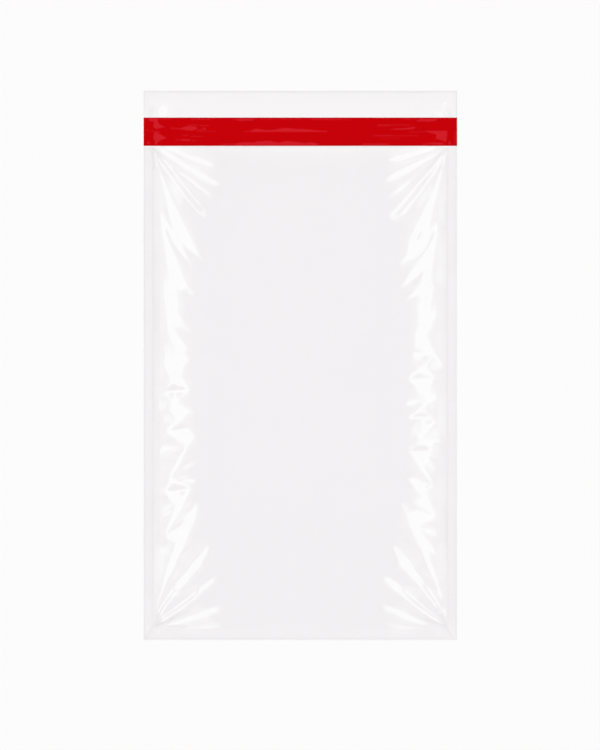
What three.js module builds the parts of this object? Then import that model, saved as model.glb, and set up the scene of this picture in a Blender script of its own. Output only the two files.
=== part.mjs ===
// Self-seal cellophane bag, lying on its back as it comes to rest.
// One sheet of clear film is folded at the bottom and welded along both sides. Its back panel runs on
// past the mouth as a lip, which carries a line of adhesive under a red release liner.
// Millimetres: X across the bag, Y from the bottom fold towards the lip, Z up from the table.

import * as THREE from "three";
import { mergeVertices } from "three/addons/utils/BufferGeometryUtils.js";

// Driving sizes of the film
const BAG_WIDTH = 178;
const POUCH_LENGTH = 280;
const LIP_LENGTH = 32;
const FILM_THICKNESS = 0.05;
const SIDE_WELD = 5.5;
const BOTTOM_BAND = 5.7;
const PUFF_HEIGHT = 7;

// Driving sizes of the closure on the lip
const ADHESIVE_WIDTH = 12;
const ADHESIVE_THICKNESS = 0.05;
const LINER_WIDTH = 16;
const LINER_THICKNESS = 0.06;
const LINER_SETBACK = 0.7;

// The folds are drawn on a pouch of this inside half width, length and puff, and stretch with the real one
const DRAWN_HALF_WIDTH = 83.5;
const DRAWN_LENGTH = 274.3;
const DRAWN_PUFF = 7;

// How the drawn front panel climbs: rises per millimetre, and the most that one side fold climbs
const SIDE_RAMP = 0.19;
const MOUTH_RAMP_SHARE = 0.65;
const MOUTH_EASE_LENGTH = 90;
const SKIRT_RAMP = 0.04;
const FACET_RAMP = 0.33;
const MOST_FACET_RISE = 5;
const BOTTOM_RAMP_LENGTH = 60;
const LEVEL_OFF_SHARE = 0.7;

// Each corner holds a fan of creases. A ray is its angle from the end edge in degrees, and its rise per
// millimetre; a crease shows where neighbouring rays differ, and fades out between the two reaches.
const FAN_FULL_REACH = 33;
const FAN_END_REACH = 46;
const TOP_LEFT_FAN = [
  [83.3, 0.008], [80, 0.012], [75.9, 0.016], [69, 0.058],
  [55, 0.056], [51, 0.058], [42, 0.056], [38.5, 0.076],
  [32, 0.069], [26, 0.1035], [20.5, 0.093], [14.5, 0.1275],
];
const TOP_RIGHT_FAN = [
  [84, 0.008], [80, 0.012], [77.5, 0.014], [68.5, 0.066],
  [56.5, 0.062], [48.6, 0.066], [41, 0.062], [37, 0.084],
  [31, 0.077], [24.5, 0.114], [14, 0.094], [8, 0.128],
];
const BOTTOM_LEFT_FAN = [
  [84, 0.003], [80, 0.006], [76, 0.01], [70.3, 0.046],
  [57.5, 0.042], [52.5, 0.071], [40, 0.064], [36, 0.067],
  [27, 0.066], [20, 0.063], [14.5, 0.03], [7, 0.014],
];
const BOTTOM_RIGHT_FAN = [
  [84, 0.003], [80, 0.006], [76, 0.01], [71, 0.041],
  [57.5, 0.038], [52.5, 0.067], [40.5, 0.061], [36.5, 0.064],
  [27, 0.064], [20.5, 0.062], [15, 0.03], [7, 0.014],
];
// Rows across a fan, by their distance from its end edge
const TOP_FAN_ROWS = [0, 3, 6, 10, 15, 21, 28];
const BOTTOM_FAN_ROWS = [32, 24, 17, 11, 7, 3.5, 0];
// Where each ray beyond the side fold comes to rest, measured in from the weld
const RAY_STOPS = [32, 33.5, 35.5, 36.5, 39, 41, 43.5, 45.5];
const PLATEAU_START = 52;

// Between the fans each side buckles into a chain of steep facets. A row is its distance from the mouth and
// where its facet starts and ends, measured in from the weld; five numbers give two facets and a ledge.
const LEFT_ROWS = [
  [36.5, 4.5, 5, 9.5, 13.5], [49, 5.5, 8, 12.5, 19], [58, 7, 11, 13.5, 24], [64.5, 8.5, 15, 16, 29],
  [67, 9, 15, 16.5, 22], [69.5, 9, 15.5, 17, 25], [74, 9.5, 18], [76.5, 6.5, 19],
  [83.5, 7, 24], [86.5, 7.5, 14], [91.5, 7, 20], [96, 7, 13],
  [101.5, 8.5, 17.5], [106, 9.5, 23], [109, 10, 16.5], [116, 8.5, 22],
  [118.5, 8, 17.5], [123.5, 6, 20.5], [127, 7.5, 20], [131, 10, 16.5],
  [137.5, 6.5, 20], [143, 11.5, 14], [149.5, 9.5, 24], [154.5, 13, 14.5],
  [160, 7.5, 20], [164, 11, 24], [169.5, 17.5, 20], [174.5, 16.5, 18.5],
  [180, 13.5, 15.5], [187.5, 9.5, 11.5], [193, 7.5, 21], [196, 7, 19],
  [199.5, 10, 17], [203.5, 12.5, 15, 24, 25.5], [208.5, 11, 13.5, 21, 24], [213.5, 9, 11.5, 17.5, 22],
  [218.5, 7, 9.5, 13.5, 19.5], [222, 7, 17], [225.5, 10.5, 15], [232.5, 9, 14],
];
const RIGHT_ROWS = [
  [35, 8.5, 13.5], [42, 9.5, 17], [49, 10, 20], [57, 9, 23],
  [64, 8, 25.5], [66.5, 8, 13.5], [72, 8.5, 20], [79, 8, 26.5],
  [81, 8.5, 16.5], [86.5, 9, 22], [89, 8, 15.5], [92.5, 6.5, 15.5],
  [96.5, 9.5, 15], [106, 12, 16], [110, 9.5, 18.5], [114, 9, 18.5],
  [118, 8, 19.5], [121.5, 10.5, 13], [126, 9.5, 17], [130.5, 8, 22.5],
  [135, 7.5, 17], [141.5, 7, 11.5], [144.5, 10, 20], [147, 13, 14.5],
  [152, 9.5, 22.5], [155.5, 7, 19], [159, 11, 17], [163, 15.5, 17],
  [166.5, 6.5, 17], [171, 9.5, 22.5], [175, 18.5, 20.5], [181, 14.5, 16.5],
  [186, 11, 13.5], [191, 8.5, 22], [195.5, 12, 15], [202, 7.5, 19, 25.5, 26.5],
  [207.5, 7, 13, 21, 24], [213.5, 9, 10, 17.5, 21], [218.5, 4.5, 9, 14, 19], [228.5, 10, 14],
];

// Places worked out from the driving sizes
const HALF_WIDTH = BAG_WIDTH / 2;
const INSIDE_HALF_WIDTH = HALF_WIDTH - SIDE_WELD;
const BOTTOM_Y = -(POUCH_LENGTH + LIP_LENGTH) / 2;
const MOUTH_Y = BOTTOM_Y + POUCH_LENGTH;
const LIP_END_Y = MOUTH_Y + LIP_LENGTH;
const INSIDE_LENGTH = POUCH_LENGTH - BOTTOM_BAND;
const ADHESIVE_Y = MOUTH_Y + LINER_SETBACK + LINER_WIDTH / 2;

// Eases a rise into the level top of the puff
function levelOff(rise) {
  const knee = LEVEL_OFF_SHARE * DRAWN_PUFF;
  if (rise < knee) return rise;
  const room = DRAWN_PUFF - knee;
  return DRAWN_PUFF - room * Math.exp((knee - rise) / room);
}

function smoothStep(value) {
  const share = THREE.MathUtils.clamp(value, 0, 1);
  return share * share * (3 - 2 * share);
}

// The climb from the weld, gentler towards the mouth
function sideRamp(fromMouth) {
  const full = smoothStep(fromMouth / MOUTH_EASE_LENGTH);
  return SIDE_RAMP * (MOUTH_RAMP_SHARE + (1 - MOUTH_RAMP_SHARE) * full);
}

// The unfolded puff: up from the weld, and down to the bottom band over its last stretch
function puffHeight(inset, fromMouth) {
  const bottomShare = Math.min(1, (DRAWN_LENGTH - fromMouth) / BOTTOM_RAMP_LENGTH);
  return levelOff(sideRamp(fromMouth) * inset) * bottomShare;
}

// One row of drawn points across a corner fan, from the weld inwards: [inset, distance from mouth, height]
function fanRow(fan, fromEnd, fromMouth) {
  const sideRays = fan.length - RAY_STOPS.length;
  const points = fan.map(([angle, ramp], index) => {
    const inset = fromEnd / Math.tan(THREE.MathUtils.degToRad(angle));
    if (index < sideRays) return [inset, fromMouth, ramp * Math.hypot(inset, fromEnd)];
    const stopped = Math.min(inset, fromEnd > 0 ? RAY_STOPS[index - sideRays] : 0);
    const reach = Math.hypot(stopped, fromEnd);
    const crease = 1 - smoothStep((reach - FAN_FULL_REACH) / (FAN_END_REACH - FAN_FULL_REACH));
    const puff = puffHeight(stopped, fromMouth);
    return [stopped, fromMouth, puff + (ramp * reach - puff) * crease];
  });
  return [[0, fromMouth, 0], ...points, [PLATEAU_START, fromMouth, puffHeight(PLATEAU_START, fromMouth)]];
}

// One row of drawn points across a buckled side: skirt, steep facets with a ledge between, and the puff
function sideRow([fromMouth, foot, ...rest]) {
  const shoulder = rest.at(-1);
  const [ledgeStart, ledgeEnd] = rest.length > 1 ? rest : [(foot + shoulder) / 2, (foot + shoulder) / 2];
  const steepWidth = ledgeStart - foot + shoulder - ledgeEnd;
  const rise = Math.min(FACET_RAMP * steepWidth, MOST_FACET_RISE);
  const middle = sideRamp(fromMouth) * (foot + shoulder) / 2;
  const footHeight = Math.max(middle - rise / 2, SKIRT_RAMP * foot);
  const ledgeHeight = footHeight + rise * (ledgeStart - foot) / steepWidth;
  const shoulderHeight = footHeight + rise;
  const beyond = [...RAY_STOPS, PLATEAU_START];
  return [
    [0, fromMouth, 0],
    [foot, fromMouth, footHeight],
    [ledgeStart, fromMouth, ledgeHeight],
    [ledgeEnd, fromMouth, ledgeHeight],
    [shoulder, fromMouth, shoulderHeight],
    ...beyond.map((inset) => [inset, fromMouth, puffHeight(inset, fromMouth)]),
  ];
}

// All drawn rows of one side, from the mouth to the bottom band
function drawnSide(topFan, rows, bottomFan) {
  return [
    ...TOP_FAN_ROWS.map((fromEnd) => fanRow(topFan, fromEnd, fromEnd)),
    ...rows.map(sideRow),
    ...BOTTOM_FAN_ROWS.map((fromEnd) => fanRow(bottomFan, fromEnd, DRAWN_LENGTH - fromEnd)),
  ];
}

// A drawn point of one side as a place on the bag, at the height of the film above the closed layers
function placed([inset, fromMouth, height], side) {
  return new THREE.Vector3(
    side * (INSIDE_HALF_WIDTH - inset * INSIDE_HALF_WIDTH / DRAWN_HALF_WIDTH),
    MOUTH_Y - fromMouth * INSIDE_LENGTH / DRAWN_LENGTH,
    height * PUFF_HEIGHT / DRAWN_PUFF,
  );
}

// The front panel as rows of points from the left weld to the right weld
function frontPanel() {
  const left = drawnSide(TOP_LEFT_FAN, LEFT_ROWS, BOTTOM_LEFT_FAN);
  const right = drawnSide(TOP_RIGHT_FAN, RIGHT_ROWS, BOTTOM_RIGHT_FAN);
  return left.map((leftRow, index) => {
    const leftPoints = leftRow.map((point) => placed(point, -1));
    const rightPoints = right[index].map((point) => placed(point, 1)).reverse();
    const middle = leftPoints.at(-1).clone().lerp(rightPoints[0], 0.5);
    middle.z += (PUFF_HEIGHT - middle.z) * (middle.z / PUFF_HEIGHT) ** 4;
    return [...leftPoints, middle, ...rightPoints];
  });
}

// Collects triangles, counter-clockwise seen from outside, into one closed geometry
class Skin {
  corners = [];

  triangle(a, b, c) {
    this.corners.push(...a.toArray(), ...b.toArray(), ...c.toArray());
  }

  quad(a, b, c, d) {
    if (a.distanceTo(c) <= b.distanceTo(d)) {
      this.triangle(a, b, c);
      this.triangle(a, c, d);
    } else {
      this.triangle(b, c, d);
      this.triangle(b, d, a);
    }
  }

  // A surface over rows of points, each running left to right and each row nearer the bottom fold
  grid(rows, facesUp) {
    for (let row = 0; row + 1 < rows.length; row++) {
      for (let column = 0; column + 1 < rows[row].length; column++) {
        const upper = [rows[row][column], rows[row][column + 1]];
        const lower = [rows[row + 1][column], rows[row + 1][column + 1]];
        if (facesUp) this.quad(upper[0], lower[0], lower[1], upper[1]);
        else this.quad(upper[0], upper[1], lower[1], lower[0]);
      }
    }
  }

  // A wall between two lines of points, the second below the first, with its outside on their right
  wall(upper, lower) {
    for (let index = 0; index + 1 < upper.length; index++) {
      this.quad(upper[index], lower[index], lower[index + 1], upper[index + 1]);
    }
  }

  // A level panel between a left and a right line of points, closed by a line along the bottom
  panel(left, right, bottom, facesUp) {
    const last = left.length - 2;
    for (let index = 0; index < last; index++) {
      const corners = [left[index], left[index + 1], right[index + 1], right[index]];
      this.quad(...(facesUp ? corners : corners.reverse()));
    }
    const fan = [...bottom, right[last]];
    for (let index = 0; index + 1 < fan.length; index++) {
      if (facesUp) this.triangle(left[last], fan[index], fan[index + 1]);
      else this.triangle(left[last], fan[index + 1], fan[index]);
    }
  }

  geometry() {
    const loose = new THREE.BufferGeometry();
    loose.setAttribute("position", new THREE.Float32BufferAttribute(this.corners, 3));
    const merged = mergeVertices(loose, FILM_THICKNESS / 50);
    const kept = [];
    for (let start = 0; start < merged.index.count; start += 3) {
      const corners = [0, 1, 2].map((offset) => merged.index.getX(start + offset));
      if (new Set(corners).size === 3) kept.push(...corners);
    }
    merged.setIndex(kept);
    merged.computeVertexNormals();
    return merged;
  }
}

function atHeight(points, height) {
  return points.map((point) => new THREE.Vector3(point.x, point.y, height));
}

function raised(points, height) {
  return points.map((point) => new THREE.Vector3(point.x, point.y, point.z + height));
}

// The film as one solid: back panel with its lip, welds, bottom fold and the puffed front panel, mouth open
function filmPouch() {
  const insideRows = frontPanel();
  const withWelds = insideRows.map((row) => [
    new THREE.Vector3(-HALF_WIDTH, row[0].y, 0),
    ...row,
    new THREE.Vector3(HALF_WIDTH, row.at(-1).y, 0),
  ]);
  const foldRow = withWelds.at(-1).map((point) => new THREE.Vector3(point.x, BOTTOM_Y, 0));
  const outsideRows = [...withWelds, foldRow];
  const leftEdge = outsideRows.map((row) => row[0]);
  const rightEdge = outsideRows.map((row) => row.at(-1));
  const lipCorners = [
    new THREE.Vector3(-HALF_WIDTH, LIP_END_Y, 0),
    new THREE.Vector3(HALF_WIDTH, LIP_END_Y, 0),
  ];
  const oneLayer = FILM_THICKNESS;
  const twoLayers = 2 * FILM_THICKNESS;
  const skin = new Skin();

  // Front panel outside and inside, and its edge along the mouth
  skin.grid(outsideRows.map((row) => raised(row, twoLayers)), true);
  skin.grid(insideRows.map((row) => raised(row, oneLayer)), false);
  const mouth = withWelds[0].slice().reverse();
  skin.wall(raised(mouth, twoLayers), raised(mouth, oneLayer));

  // Back panel inside the pouch, and the lip beyond the mouth
  const insideLeft = insideRows.map((row) => row[0]);
  const insideRight = insideRows.map((row) => row.at(-1));
  skin.panel(
    atHeight(insideLeft, oneLayer),
    atHeight(insideRight, oneLayer),
    atHeight(insideRows.at(-1), oneLayer),
    true,
  );
  const lipFoot = [leftEdge[0], insideLeft[0], insideRight[0], rightEdge[0], lipCorners[1]];
  const lipTop = atHeight([lipCorners[0], ...lipFoot], oneLayer);
  for (let index = 1; index + 1 < lipTop.length; index++) {
    skin.triangle(lipTop[0], lipTop[index], lipTop[index + 1]);
  }

  // Underside
  const wholeLeft = [lipCorners[0], ...leftEdge];
  const wholeRight = [lipCorners[1], ...rightEdge];
  skin.panel(atHeight(wholeLeft, 0), atHeight(wholeRight, 0), atHeight(foldRow, 0), false);

  // Cut edges: the back layer all round, and the front layer from the mouth down and along the fold
  const backEdge = [...wholeLeft, ...foldRow.slice(1), ...wholeRight.slice(0, -1).reverse(), wholeLeft[0]];
  skin.wall(atHeight(backEdge, oneLayer), atHeight(backEdge, 0));
  const frontEdge = [...leftEdge, ...foldRow.slice(1), ...rightEdge.slice(0, -1).reverse()];
  skin.wall(atHeight(frontEdge, twoLayers), atHeight(frontEdge, oneLayer));
  return skin.geometry();
}

function meshOf(name, geometry, material) {
  const mesh = new THREE.Mesh(geometry, new THREE.MeshStandardMaterial(material));
  mesh.name = name;
  return mesh;
}

// A thin strip right across the lip, with its lower face at the given height
function lipStrip(name, width, thickness, height, material) {
  const strip = meshOf(name, new THREE.BoxGeometry(BAG_WIDTH, width, thickness), material);
  strip.position.set(0, ADHESIVE_Y, height + thickness / 2);
  return strip;
}

const clearFilm = { color: 0xf3f1f2, roughness: 0.08, metalness: 0, transparent: true, opacity: 0.25 };
const clearAdhesive = { color: 0xefe9dc, roughness: 0.35, metalness: 0, transparent: true, opacity: 0.5 };
const redLiner = { color: 0xc6010a, roughness: 0.3, metalness: 0 };

const bag = new THREE.Group();
bag.add(
  meshOf("film_pouch", filmPouch(), clearFilm),
  lipStrip("adhesive_strip", ADHESIVE_WIDTH, ADHESIVE_THICKNESS, FILM_THICKNESS, clearAdhesive),
  lipStrip("release_liner", LINER_WIDTH, LINER_THICKNESS, FILM_THICKNESS + ADHESIVE_THICKNESS, redLiner),
);

export default bag;
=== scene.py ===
import bpy
import numpy as np
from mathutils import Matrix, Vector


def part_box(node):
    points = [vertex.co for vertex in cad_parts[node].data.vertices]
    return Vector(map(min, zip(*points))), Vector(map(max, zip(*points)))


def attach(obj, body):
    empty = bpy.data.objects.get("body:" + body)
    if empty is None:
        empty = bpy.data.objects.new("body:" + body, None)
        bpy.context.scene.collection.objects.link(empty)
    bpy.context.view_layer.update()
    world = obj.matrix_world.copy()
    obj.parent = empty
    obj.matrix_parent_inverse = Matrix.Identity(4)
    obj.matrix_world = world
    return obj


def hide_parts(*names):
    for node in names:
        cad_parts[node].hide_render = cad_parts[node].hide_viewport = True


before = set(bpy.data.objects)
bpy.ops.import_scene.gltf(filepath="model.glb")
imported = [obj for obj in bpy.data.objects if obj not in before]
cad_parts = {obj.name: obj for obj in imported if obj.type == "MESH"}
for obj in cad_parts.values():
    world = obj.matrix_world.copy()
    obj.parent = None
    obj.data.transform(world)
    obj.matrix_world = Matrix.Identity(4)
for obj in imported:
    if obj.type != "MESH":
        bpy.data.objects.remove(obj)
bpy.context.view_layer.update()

# Sizes in metres, as the bag lies: X across, Y towards the lip, Z up. The widths of the side welds and of
# the bottom band, how high the liner stands where it is loose, and the floor's level and reach
MM = 0.001
WELD = 5.5 * MM
BAND = 5.7 * MM
LOOSE_HEIGHT = 0.12 * MM
FLOOR_LEVEL = -0.03 * MM
FLOOR_REACH = 6.0

# How far apart vertices are: on the folds, the welds, near edges, the lip, down the back and the liner
CELL = 0.5 * MM
WELD_STEP = 0.6 * MM
EDGE_STEP = 0.3 * MM
EDGE_REACH = 1.2 * MM
LIP_STEP = 0.5 * MM
BACK_ROW_STEP = 10 * MM
LINER_STEP = 0.4 * MM

# The front film's columns: how far from the weld each zone reaches, and how many cells it steps
COLUMN_ZONES = [(27 * MM, 1), (40 * MM, 2), (90 * MM, 12)]

# The photograph's frame, whose pixels the folds are drawn in, and the points tested across a pixel
PIXEL = 0.568 * MM
FRAME = (600, 750)
MIDDLE_PIXEL = (300.35, 365.38)
SAMPLES = 3

# The camera's height, how far it sees, and its sensor in millimetres
CAMERA_HEIGHT = 2.2
CAMERA_REACH = 50
SENSOR = 36.0

# Slopes of the front film: the most where it is plain, the least that glows and the steepest facet
PLAIN_SLOPE = 0.09
GLOW_SLOPE = 0.178
STEEP_SLOPE = 0.33

# The solver of the folds: passes that only set the slopes, passes that also carry over what they missed
# and the share carried, and the light below which the film is plain
PLAIN_PASSES = 50
CARRY_PASSES = 30
CARRY = 0.8
LEAST_LIGHT = 0.02

# How far things are spread: the start of the folds, a swell, the glow by the welds, the one round a facet,
# which is a share of the facet's own, and a loose spot of the liner
START_PASSES = 200
SWELL_PASSES = 2
SKIRT_PASSES = 14
HALO_PASSES = 85
HALO = 0.68
LOOSE_PASSES = 1

# What counts as nothing: a length, the area of a triangle, a share of one and a slope
LEAST_LENGTH = 1e-7
LEAST_AREA = 1e-12
LEAST_SHARE = 1e-6
LEAST_SLOPE = 1e-9

# The share of light that one layer of film mirrors, by how far it is turned from the eye
FRONT_MIRRORS = [(0, 0.045), (0.05, 0.116), (0.1, 0.082), (0.3, 0.082), (0.5, 0.13), (0.75, 0.36), (1, 1)]
BACK_MIRRORS = [(0, 0.03), (0.3, 0.036), (0.5, 0.08), (0.75, 0.3), (1, 1)]

# The film's colours: what passes where it is clear and at full dimness or painted shade, and what it
# mirrors
CLEAR_TINT = (0.9985, 0.9937, 1, 1)
DIMMED_AND_SHADED_TINT = (0.88, 0.874, 0.875, 1)
MIRROR_TINT = (0.8, 0.84, 0.79, 1)
MIRROR_ROUGHNESS = 0.05

# How dim the film's tint is made: the front panel, the lip, and more towards the lip's top edge over its
# reach
FILM_DIMNESS = 0.036
LIP_DIMNESS = 0.183
LIP_EDGE_DIMNESS = 0.11
LIP_EDGE_REACH = 4 * MM

# The darkening of the film's tint in the middle of the pouch: its depth, where it starts and is full from
# the weld, and its reach from the mouth
MIDDLE_DARKENING = 0.055
DARKENING_START = 17 * MM
DARKENING_FULL = 34 * MM
DARKENING_FROM_MOUTH = 25 * MM

# The liner, stuck down, and lighter red as a painted sheen where it is loose
STUCK_RED = (0.53, 0.0003, 0.0022, 1)
SHEEN_RED = (0.6, 0.0115, 0.02, 1)
LINER_ROUGHNESS = 0.35
LINER_SPECULAR = 0.01

# The adhesive and its fine grain
ADHESIVE_COLOUR = (0.93, 0.91, 0.86, 1)
ADHESIVE_ROUGHNESS = 0.3
ADHESIVE_ALPHA = 0.4
GRAIN_SCALE = 900
GRAIN_STRENGTH = 0.2
GRAIN_DEPTH = 0.02 * MM

# The floor, and what the camera sees beyond it
FLOOR_COLOUR = (0.93, 0.922, 0.922, 1)
BEYOND_COLOUR = (0.97, 0.965, 0.965, 1)

# The tent's brightness by the height of the direction, and its full strength
TENT_BY_HEIGHT = [(0, 0.068), (0.615, 0.068), (0.645, 1), (0.742, 1), (0.76, 0.68), (0.85, 0.68),
        (0.94, 0.204), (1, 0.204)]
TENT_STRENGTH = 2.66

# Soft swells of the front film: how bright each is against a full facet, and its outline in pixels
SWELLS = [
    # Top left
    (0.5, [(181, 160), (190, 163.5), (200, 168), (210, 175), (206, 176), (195, 169.5)]),
    (0.55, [(200, 212), (204, 209), (209, 214), (208, 218.5), (204, 219)]),
    (0.45, [(168, 180), (173, 183), (180, 190), (184, 198), (181, 205), (176, 202), (172, 193)]),
    (0.55, [(195, 254), (199, 254), (203, 258), (205.5, 263), (202, 262)]),
    # Left
    (0.55, [(185, 258), (188, 257), (191.5, 262.5), (194, 268), (189, 264.5)]),
    (0.5, [(187, 286), (191, 288), (195, 293), (196, 297), (191, 296), (187, 293)]),
    (0.5, [(182, 319), (186, 324), (190, 329), (195, 335), (190, 333), (185, 331), (181, 328)]),
    (0.45, [(178, 300), (184, 302), (184, 310), (178, 310)]),
    (0.5, [(163, 346), (167, 342), (171, 344), (175, 349), (174, 354), (170, 357), (166, 356)]),
    (0.55, [(186, 406), (190, 408), (194.5, 411), (193, 414.5), (188, 416.5), (185, 412)]),
    (0.45, [(157, 401), (163, 399), (169, 402), (165, 409.5), (159, 412)]),
    (0.5, [(162, 415), (167, 413), (172, 416), (174, 420), (170, 424), (164, 424)]),
    (0.5, [(188, 428), (193, 430), (195.5, 434), (194, 440), (191, 434)]),
    (0.5, [(157, 445), (168, 444), (178, 446), (183, 447.5), (176, 452), (168, 455), (160, 455)]),
    (0.22, [(160, 454), (176, 449), (180, 452), (174, 466), (170, 480), (161, 482), (159, 468)]),
    (0.8, [(157.5, 446.3), (163, 445.3), (170, 447.2), (175, 448.8), (166, 450.3), (160, 453)]),
    (0.5, [(180, 469), (184, 465.5), (190, 462), (196, 461), (198, 463.5), (193, 466.5), (186, 469.5)]),
    (0.8, [(182, 468.3), (185, 466), (190, 463.8), (193, 463.3), (190, 466.3), (185, 468.7)]),
    (0.66, [(174, 478.5), (182, 475.5), (191, 475.5), (196.5, 478), (195, 483), (189, 483.5), (182, 480)]),
    (0.5, [(161, 508), (167, 504), (174, 501.5), (176, 506), (172, 510), (169, 515), (162, 517)]),
    (0.45, [(174, 521.5), (180, 515), (187, 510.5), (188, 514), (184, 518.5), (180, 522), (175, 525)]),
    # Bottom left
    (0.5, [(194, 505.5), (196, 502), (198, 504), (197.5, 508)]),
    (0.5, [(158, 552), (161, 547), (167, 543.5), (173, 541), (174, 545), (169, 554), (162, 557)]),
    (0.55, [(203, 550), (206, 546), (210, 544.5), (210, 548.5), (207, 553)]),
    (0.5, [(176, 585), (181, 587), (177, 592), (171, 597), (170, 593)]),
    (0.55, [(208, 580.5), (213, 577), (217, 576), (214, 580.5), (211, 583.5)]),
    (0.5, [(204, 610.5), (212, 605.5), (220, 605), (221, 610), (212, 615.5), (204, 617.5)]),
    (0.3, [(182, 629), (197, 625.5), (206, 623.5), (222, 622), (221, 627), (205, 632), (186, 633)]),
    # Top right
    (0.5, [(402, 155.5), (395, 156), (389, 157.5), (386, 161), (391, 162.5), (402, 160.5)]),
    (0.5, [(392, 175.5), (387, 177), (383.5, 181), (384.5, 184), (388, 183.5), (393, 181)]),
    (0.5, [(423, 170.5), (416, 174), (411, 178), (411, 181), (417, 176.5), (423, 172)]),
    (0.5, [(394, 192), (389, 195), (388, 198), (392, 197.5), (396, 194.5)]),
    (0.55, [(389, 213), (387, 217), (389, 220.5), (395, 222.5), (400, 219.5), (398, 214)]),
    (0.42, [(431, 184), (434, 190), (428, 197), (422, 206), (417, 212), (416, 205), (421, 196)]),
    (0.55, [(404.5, 256), (402, 259), (399.5, 262), (400, 266), (403, 266), (406, 262.5)]),
    (0.5, [(410, 242), (407, 247), (405.5, 252.5), (410, 253), (411, 247)]),
    # Right
    (0.55, [(404.5, 281), (402, 284), (400.5, 287.5), (404, 288), (408, 284.5)]),
    (0.6, [(412, 294.5), (408, 297), (405, 299.5), (408, 300.5), (413, 298)]),
    (0.36, [(419.5, 297), (415, 300), (414.5, 307), (417, 311), (420, 306)]),
    (0.36, [(418, 312), (415.5, 319), (416, 323), (419, 322)]),
    (0.45, [(432, 302), (436, 303), (437.5, 310), (434, 311), (431, 308)]),
    (0.36, [(415, 331), (412.5, 335), (412.5, 339), (416, 340)]),
    (0.5, [(432, 361), (437, 359), (442, 363), (443, 367), (440, 370.5), (434, 371), (428.5, 368.5),
        (429, 365)]),
    (0.28, [(411, 355), (416, 358.5), (427, 357), (425, 362), (420, 367), (416, 370), (413, 365),
        (411, 360)]),
    (0.5, [(431, 384), (433.5, 385), (435, 391), (436, 396), (431, 393)]),
    (0.5, [(404.5, 403.5), (406, 400), (410, 398.8), (418, 398.5), (421, 403), (416, 405.5), (407, 406)]),
    (0.5, [(417, 397), (425, 396.5), (432, 398), (427, 401), (424, 405), (419, 405)]),
    (0.3, [(427, 404.5), (434, 402), (436, 408), (434, 415), (431, 414), (426.5, 408)]),
    (0.48, [(420, 421.5), (414, 423.5), (409.5, 429), (409.5, 435), (413, 438), (418, 435), (420, 429)]),
    (0.48, [(431, 429), (434, 427), (438, 430), (440, 437), (440, 443), (437, 448), (433, 447),
        (436, 440)]),
    (0.48, [(427, 434), (431, 430.5), (437, 432), (437, 438.5), (428, 438), (423.5, 438)]),
    (0.42, [(408, 446), (411, 444.5), (417, 446), (416, 450), (409, 451)]),
    (0.5, [(430, 453), (433, 456), (432, 462), (435, 466), (435, 471), (430, 472), (425, 466), (429, 463)]),
    (0.3, [(431, 451), (436, 452), (437, 458), (433, 462), (431, 457)]),
    (0.5, [(410, 478), (406.5, 476), (406.5, 479.5), (409, 482)]),
    (0.48, [(413, 499), (420, 496), (422, 498), (417, 505), (413.5, 504)]),
    (0.5, [(404.5, 509.5), (413, 508), (420, 507), (427, 510), (431, 514), (429, 516), (420, 511.5),
        (406, 512.5)]),
    # Bottom right
    (0.6, [(405, 513), (402, 507), (400, 499), (404, 503), (408, 507), (412, 511.5)]),
    (0.5, [(420, 526), (425, 527), (433, 528.5), (440, 532), (437, 537), (430, 536.5), (421, 531)]),
    (0.75, [(419.5, 527.5), (425, 527.6), (433, 529.8), (438, 533.5), (432.5, 535.6), (425, 532.6)]),
    (0.45, [(430, 551.5), (436, 551.5), (438, 557), (434, 556)]),
    (0.5, [(386, 541), (391, 542.5), (396, 547), (400, 552), (395, 553), (389, 547.5)]),
    (0.4, [(381.5, 575.5), (386, 574.5), (391, 578), (390, 582), (385, 581)]),
    (0.5, [(381, 604), (388, 604.5), (394, 607.5), (396, 614), (388, 612.5), (382, 608.5)]),
    (0.55, [(417, 619.5), (424, 622), (429, 624.5), (424, 624.7), (417, 623)]),
    (0.32, [(383, 621), (390, 623), (398, 625), (415, 626.5), (424, 630), (414, 633), (395, 630.5)]),
]

# Where the film lifts gently off the welds, with the same two values
SKIRTS = [
    # Left
    (0.25, [(156, 168), (159, 168), (163, 190), (165, 210), (163, 235), (157, 236)]),
    (0.27, [(157, 360), (164, 362), (165, 375), (163, 392), (164, 402), (157, 402)]),
    (0.15, [(157, 468), (165, 470), (164, 500), (165, 520), (157, 520)]),
    (0.38, [(155.5, 543), (165, 543), (167, 560), (162, 580), (158, 598), (155, 598)]),
    # Right
    (0.33, [(443.5, 170), (445, 172), (445, 222), (438, 222), (437, 200), (441, 185)]),
    (0.36, [(438, 242), (445, 240), (445, 286), (436, 286), (435, 262)]),
    (0.12, [(438, 288), (445, 288), (445, 326), (438, 326)]),
    (0.25, [(432, 332), (445, 330), (445, 362), (440, 356), (434, 346)]),
    (0.15, [(444, 366), (445, 366), (445, 400), (438, 398), (436, 380)]),
    (0.36, [(438, 402), (445, 400), (445, 440), (441, 438), (436, 424)]),
    (0.18, [(436, 474), (445, 474), (445, 506), (434, 504), (432, 492)]),
    (0.3, [(438, 540), (445, 540), (445, 600), (442, 590), (436, 560)]),
]

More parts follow.
